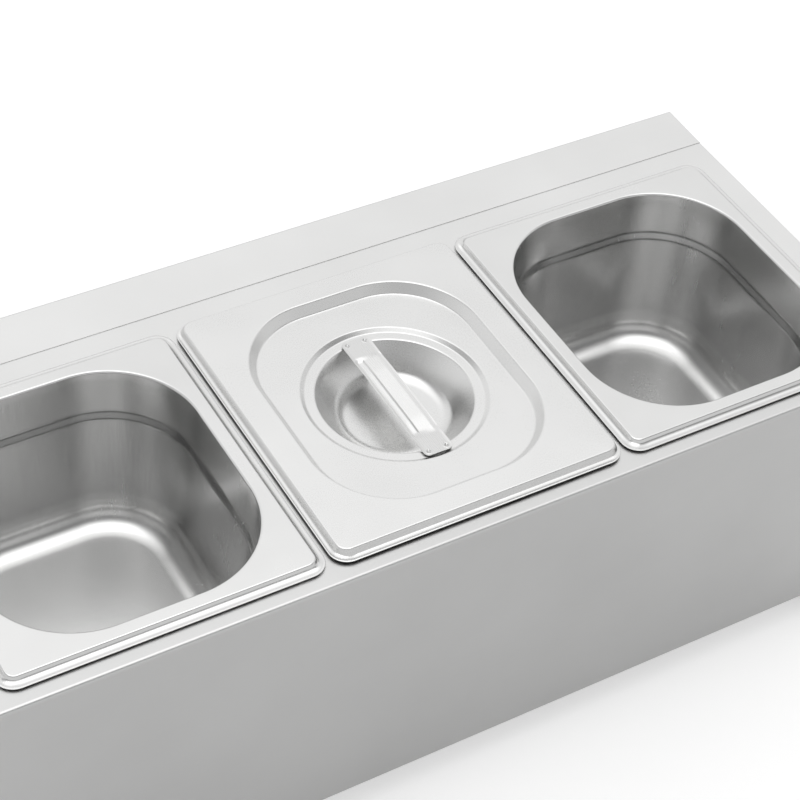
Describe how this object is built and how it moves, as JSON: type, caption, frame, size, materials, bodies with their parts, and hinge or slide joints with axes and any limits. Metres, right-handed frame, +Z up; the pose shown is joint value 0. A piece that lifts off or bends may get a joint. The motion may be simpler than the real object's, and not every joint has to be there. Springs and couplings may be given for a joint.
{
  "type": "gastronorm pan holder",
  "caption": "Free-standing sheet-steel counter-top holder with a row of lift-out gastronorm pans, the middle one under a lift-off lid with a recessed strap handle.",
  "frame": {"origin": "on the counter, under the centre of the whole holder", "axes": "+X along the row of pans to the right as seen from the front, +Y to the back, +Z up"},
  "size_m": [0.517, 0.2308, 0.1969],
  "materials": {
    "holder_steel": "fine satin",
    "pan_steel": "satin drawn sheet",
    "lid_steel": "bright satin",
    "handle_steel": "bright satin",
    "foot_rubber": "matt moulded",
    "fastener_steel": "plain"
  },
  "bodies": {
    "holder": {"deck_shell": "holder_steel", "rear_panel": "holder_steel", "left_end_panel": "holder_steel", "right_end_panel": "holder_steel", "left_cross_rail": "holder_steel", "right_cross_rail": "holder_steel", "foot_front_left": "foot_rubber", "foot_front_right": "foot_rubber", "foot_rear_left": "foot_rubber", "foot_rear_right": "foot_rubber", "foot_washers": "fastener_steel", "foot_screws": "fastener_steel", "foot_nuts": "fastener_steel", "left_rear_rivets": "fastener_steel", "right_rear_rivets": "fastener_steel"},
    "pan_left": {"pan_left": "pan_steel"},
    "pan_middle": {"pan_middle": "pan_steel"},
    "pan_right": {"pan_right": "pan_steel"},
    "lid": {"lid": "lid_steel", "lid_handle": "handle_steel"}
  },
  "joints": [
    {"name": "pan_left_lift", "type": "slide", "parent": "holder", "child": "pan_left", "axis": [0, 0, 1], "range_m": [0, 0.15]},
    {"name": "pan_middle_lift", "type": "slide", "parent": "holder", "child": "pan_middle", "axis": [0, 0, 1], "range_m": [0, 0.15]},
    {"name": "pan_right_lift", "type": "slide", "parent": "holder", "child": "pan_right", "axis": [0, 0, 1], "range_m": [0, 0.15]},
    {"name": "lid_lift", "type": "slide", "parent": "pan_middle", "child": "lid", "axis": [0, 0, 1], "range_m": [0, 0.1]}
  ]
}
